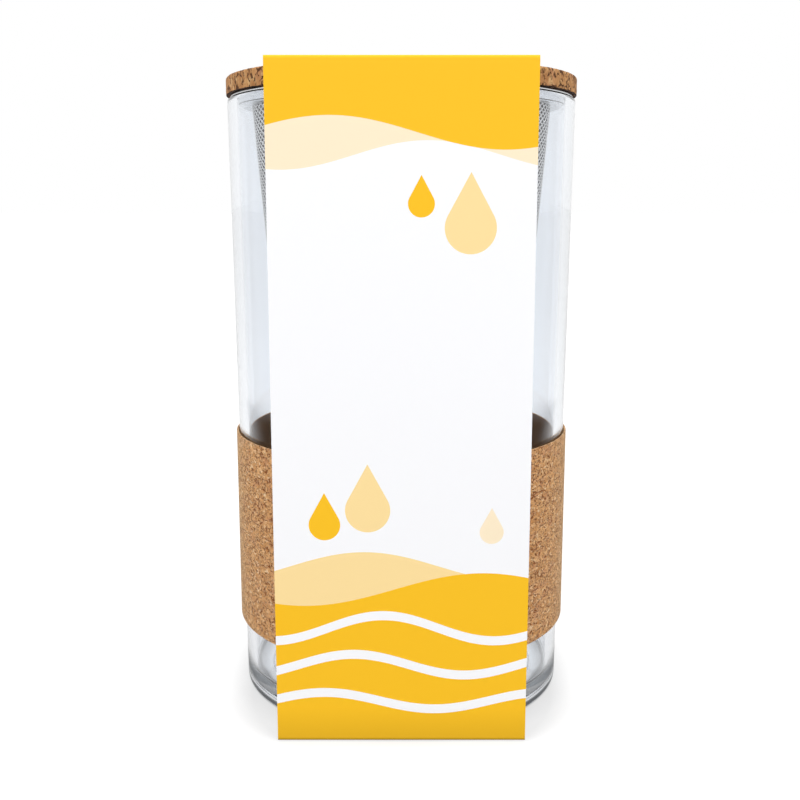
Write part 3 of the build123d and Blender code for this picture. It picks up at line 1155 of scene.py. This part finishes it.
def floor_finish():
    """A pale floor; the camera sees it white with the jar's shade."""
    material, tree = new_material("studio_floor")
    spot = object_spot(tree)
    distance = from_middle(tree, spot)
    sides = add(tree, "ShaderNodeSeparateXYZ", {0: spot}).outputs
    path = add(tree, "ShaderNodeLightPath")
    camera_ray = path.outputs["Is Camera Ray"]
    in_open = sums(tree, "MULTIPLY", open_floor_glow(tree, distance, sides), camera_ray)
    strength = sums(tree, "ADD", contact_glow(tree, distance, sides), in_open)
    share = sums(tree, "MAXIMUM", floor_in_glass(tree, distance, sides), camera_ray)
    glow = add(tree, "ShaderNodeEmission", {"Strength": sums(tree, "MULTIPLY", strength, share)})
    paint = mixed(tree, share, colour(BLACK), colour(FLOOR_SEEN))
    pale = add(tree, "ShaderNodeBsdfDiffuse", {"Color": paint})
    lit = add(tree, "ShaderNodeAddShader", {0: pale.outputs[0], 1: glow.outputs[0]})
    bounce = add(tree, "ShaderNodeBsdfDiffuse", {"Color": colour(FLOOR_BOUNCE)})
    inputs = {0: seen_rays(tree, path), 1: bounce.outputs[0], 2: lit.outputs[0]}
    shown(tree, add(tree, "ShaderNodeMixShader", inputs))
    return material


def studio_floor():
    """The wide flat floor under the jar."""
    reach = FLOOR_REACH
    corners = [(-reach, -reach, 0.0), (reach, -reach, 0.0), (reach, reach, 0.0), (-reach, reach, 0.0)]
    mesh = bpy.data.meshes.new("studio_floor")
    mesh.from_pydata(corners, [], [(0, 1, 2, 3)])
    mesh.materials.append(floor_finish())
    floor = bpy.data.objects.new("studio_floor", mesh)
    bpy.context.scene.collection.objects.link(floor)


def studio_world():
    """White behind the jar and grey behind the camera, so that glass and steel have edges."""
    world = bpy.data.worlds.new("studio")
    bpy.context.scene.world = world
    world.use_nodes = True
    tree = world.node_tree
    tree.nodes.clear()
    towards = add(tree, "ShaderNodeTexCoord").outputs["Generated"]
    sides = add(tree, "ShaderNodeSeparateXYZ", {0: towards}).outputs
    room = mixed(tree, spread(tree, sides["Y"], *ROOM_TURN), colour(ROOM_NEAR), colour(WHITE))
    path = add(tree, "ShaderNodeLightPath")
    paint = mixed(tree, path.outputs["Is Camera Ray"], room, colour(WHITE))
    strength = spread(tree, seen_rays(tree, path), 0.0, 1.0, FILL_LIGHT, 1.0)
    background = add(tree, "ShaderNodeBackground", {"Color": paint, "Strength": strength})
    add(tree, "ShaderNodeOutputWorld", {"Surface": background.outputs[0]})


def softbox(name, place, width, height, watts):
    """A rectangular lamp that faces the middle of the jar."""
    lamp = bpy.data.lights.new(name, "AREA")
    lamp.shape = "RECTANGLE"
    lamp.size = width
    lamp.size_y = height
    lamp.energy = watts
    made = bpy.data.objects.new(name, lamp)
    made.location = place
    middle = Vector((0.0, 0.0, glass_high.z / 2))
    made.rotation_euler = (middle - Vector(place)).to_track_quat("-Z", "Y").to_euler()
    bpy.context.scene.collection.objects.link(made)


def photo_camera():
    """The camera at the photograph's viewing angle."""
    lens = bpy.data.cameras.new("photo_camera")
    lens.sensor_width = SENSOR_WIDTH
    lens.lens = PHOTO_LENS
    camera = bpy.data.objects.new("photo_camera", lens)
    camera.location = PHOTO_PLACE
    camera.rotation_euler = (math.radians(90.0 - PHOTO_TILT), 0.0, 0.0)
    bpy.context.scene.collection.objects.link(camera)
    bpy.context.scene.camera = camera


pressed_steel = steel("pressed_steel", tones=("#D6D7D9", "#E8E9EA"), lines=2500.0, smooth=0.2, rough=0.36)
strand_steel = steel("strand_steel", tones=("#C2C0BD", "#E0DEDB"), lines=4000.0, smooth=0.32, rough=0.48)
# Near-black steel that stands in for shade: painted shade for the rim's creases and the strands' backs.
painted_shade_steel = steel("painted_shade_steel", tones=("#1A1918", "#2C2A28"), lines=4000.0, smooth=0.45, rough=0.6)

tumbler_glass()
sleeve_cork()
pot_rim(pressed_steel, painted_shade_steel)
pot_strands("pot_strands_left", -1, strand_steel, painted_shade_steel)
pot_strands("pot_strands_right", 1, strand_steel, painted_shade_steel)
pot_base(pressed_steel)
pot_wick()
coir_disc()
leaflet_folded()
seed_packets()
plant_food_pouch()
carbon_pouch()
lid()
band()

studio_floor()
studio_world()
for lamp in LAMPS:
    softbox(*lamp)
photo_camera()
bpy.context.scene.view_settings.view_transform = "Standard"
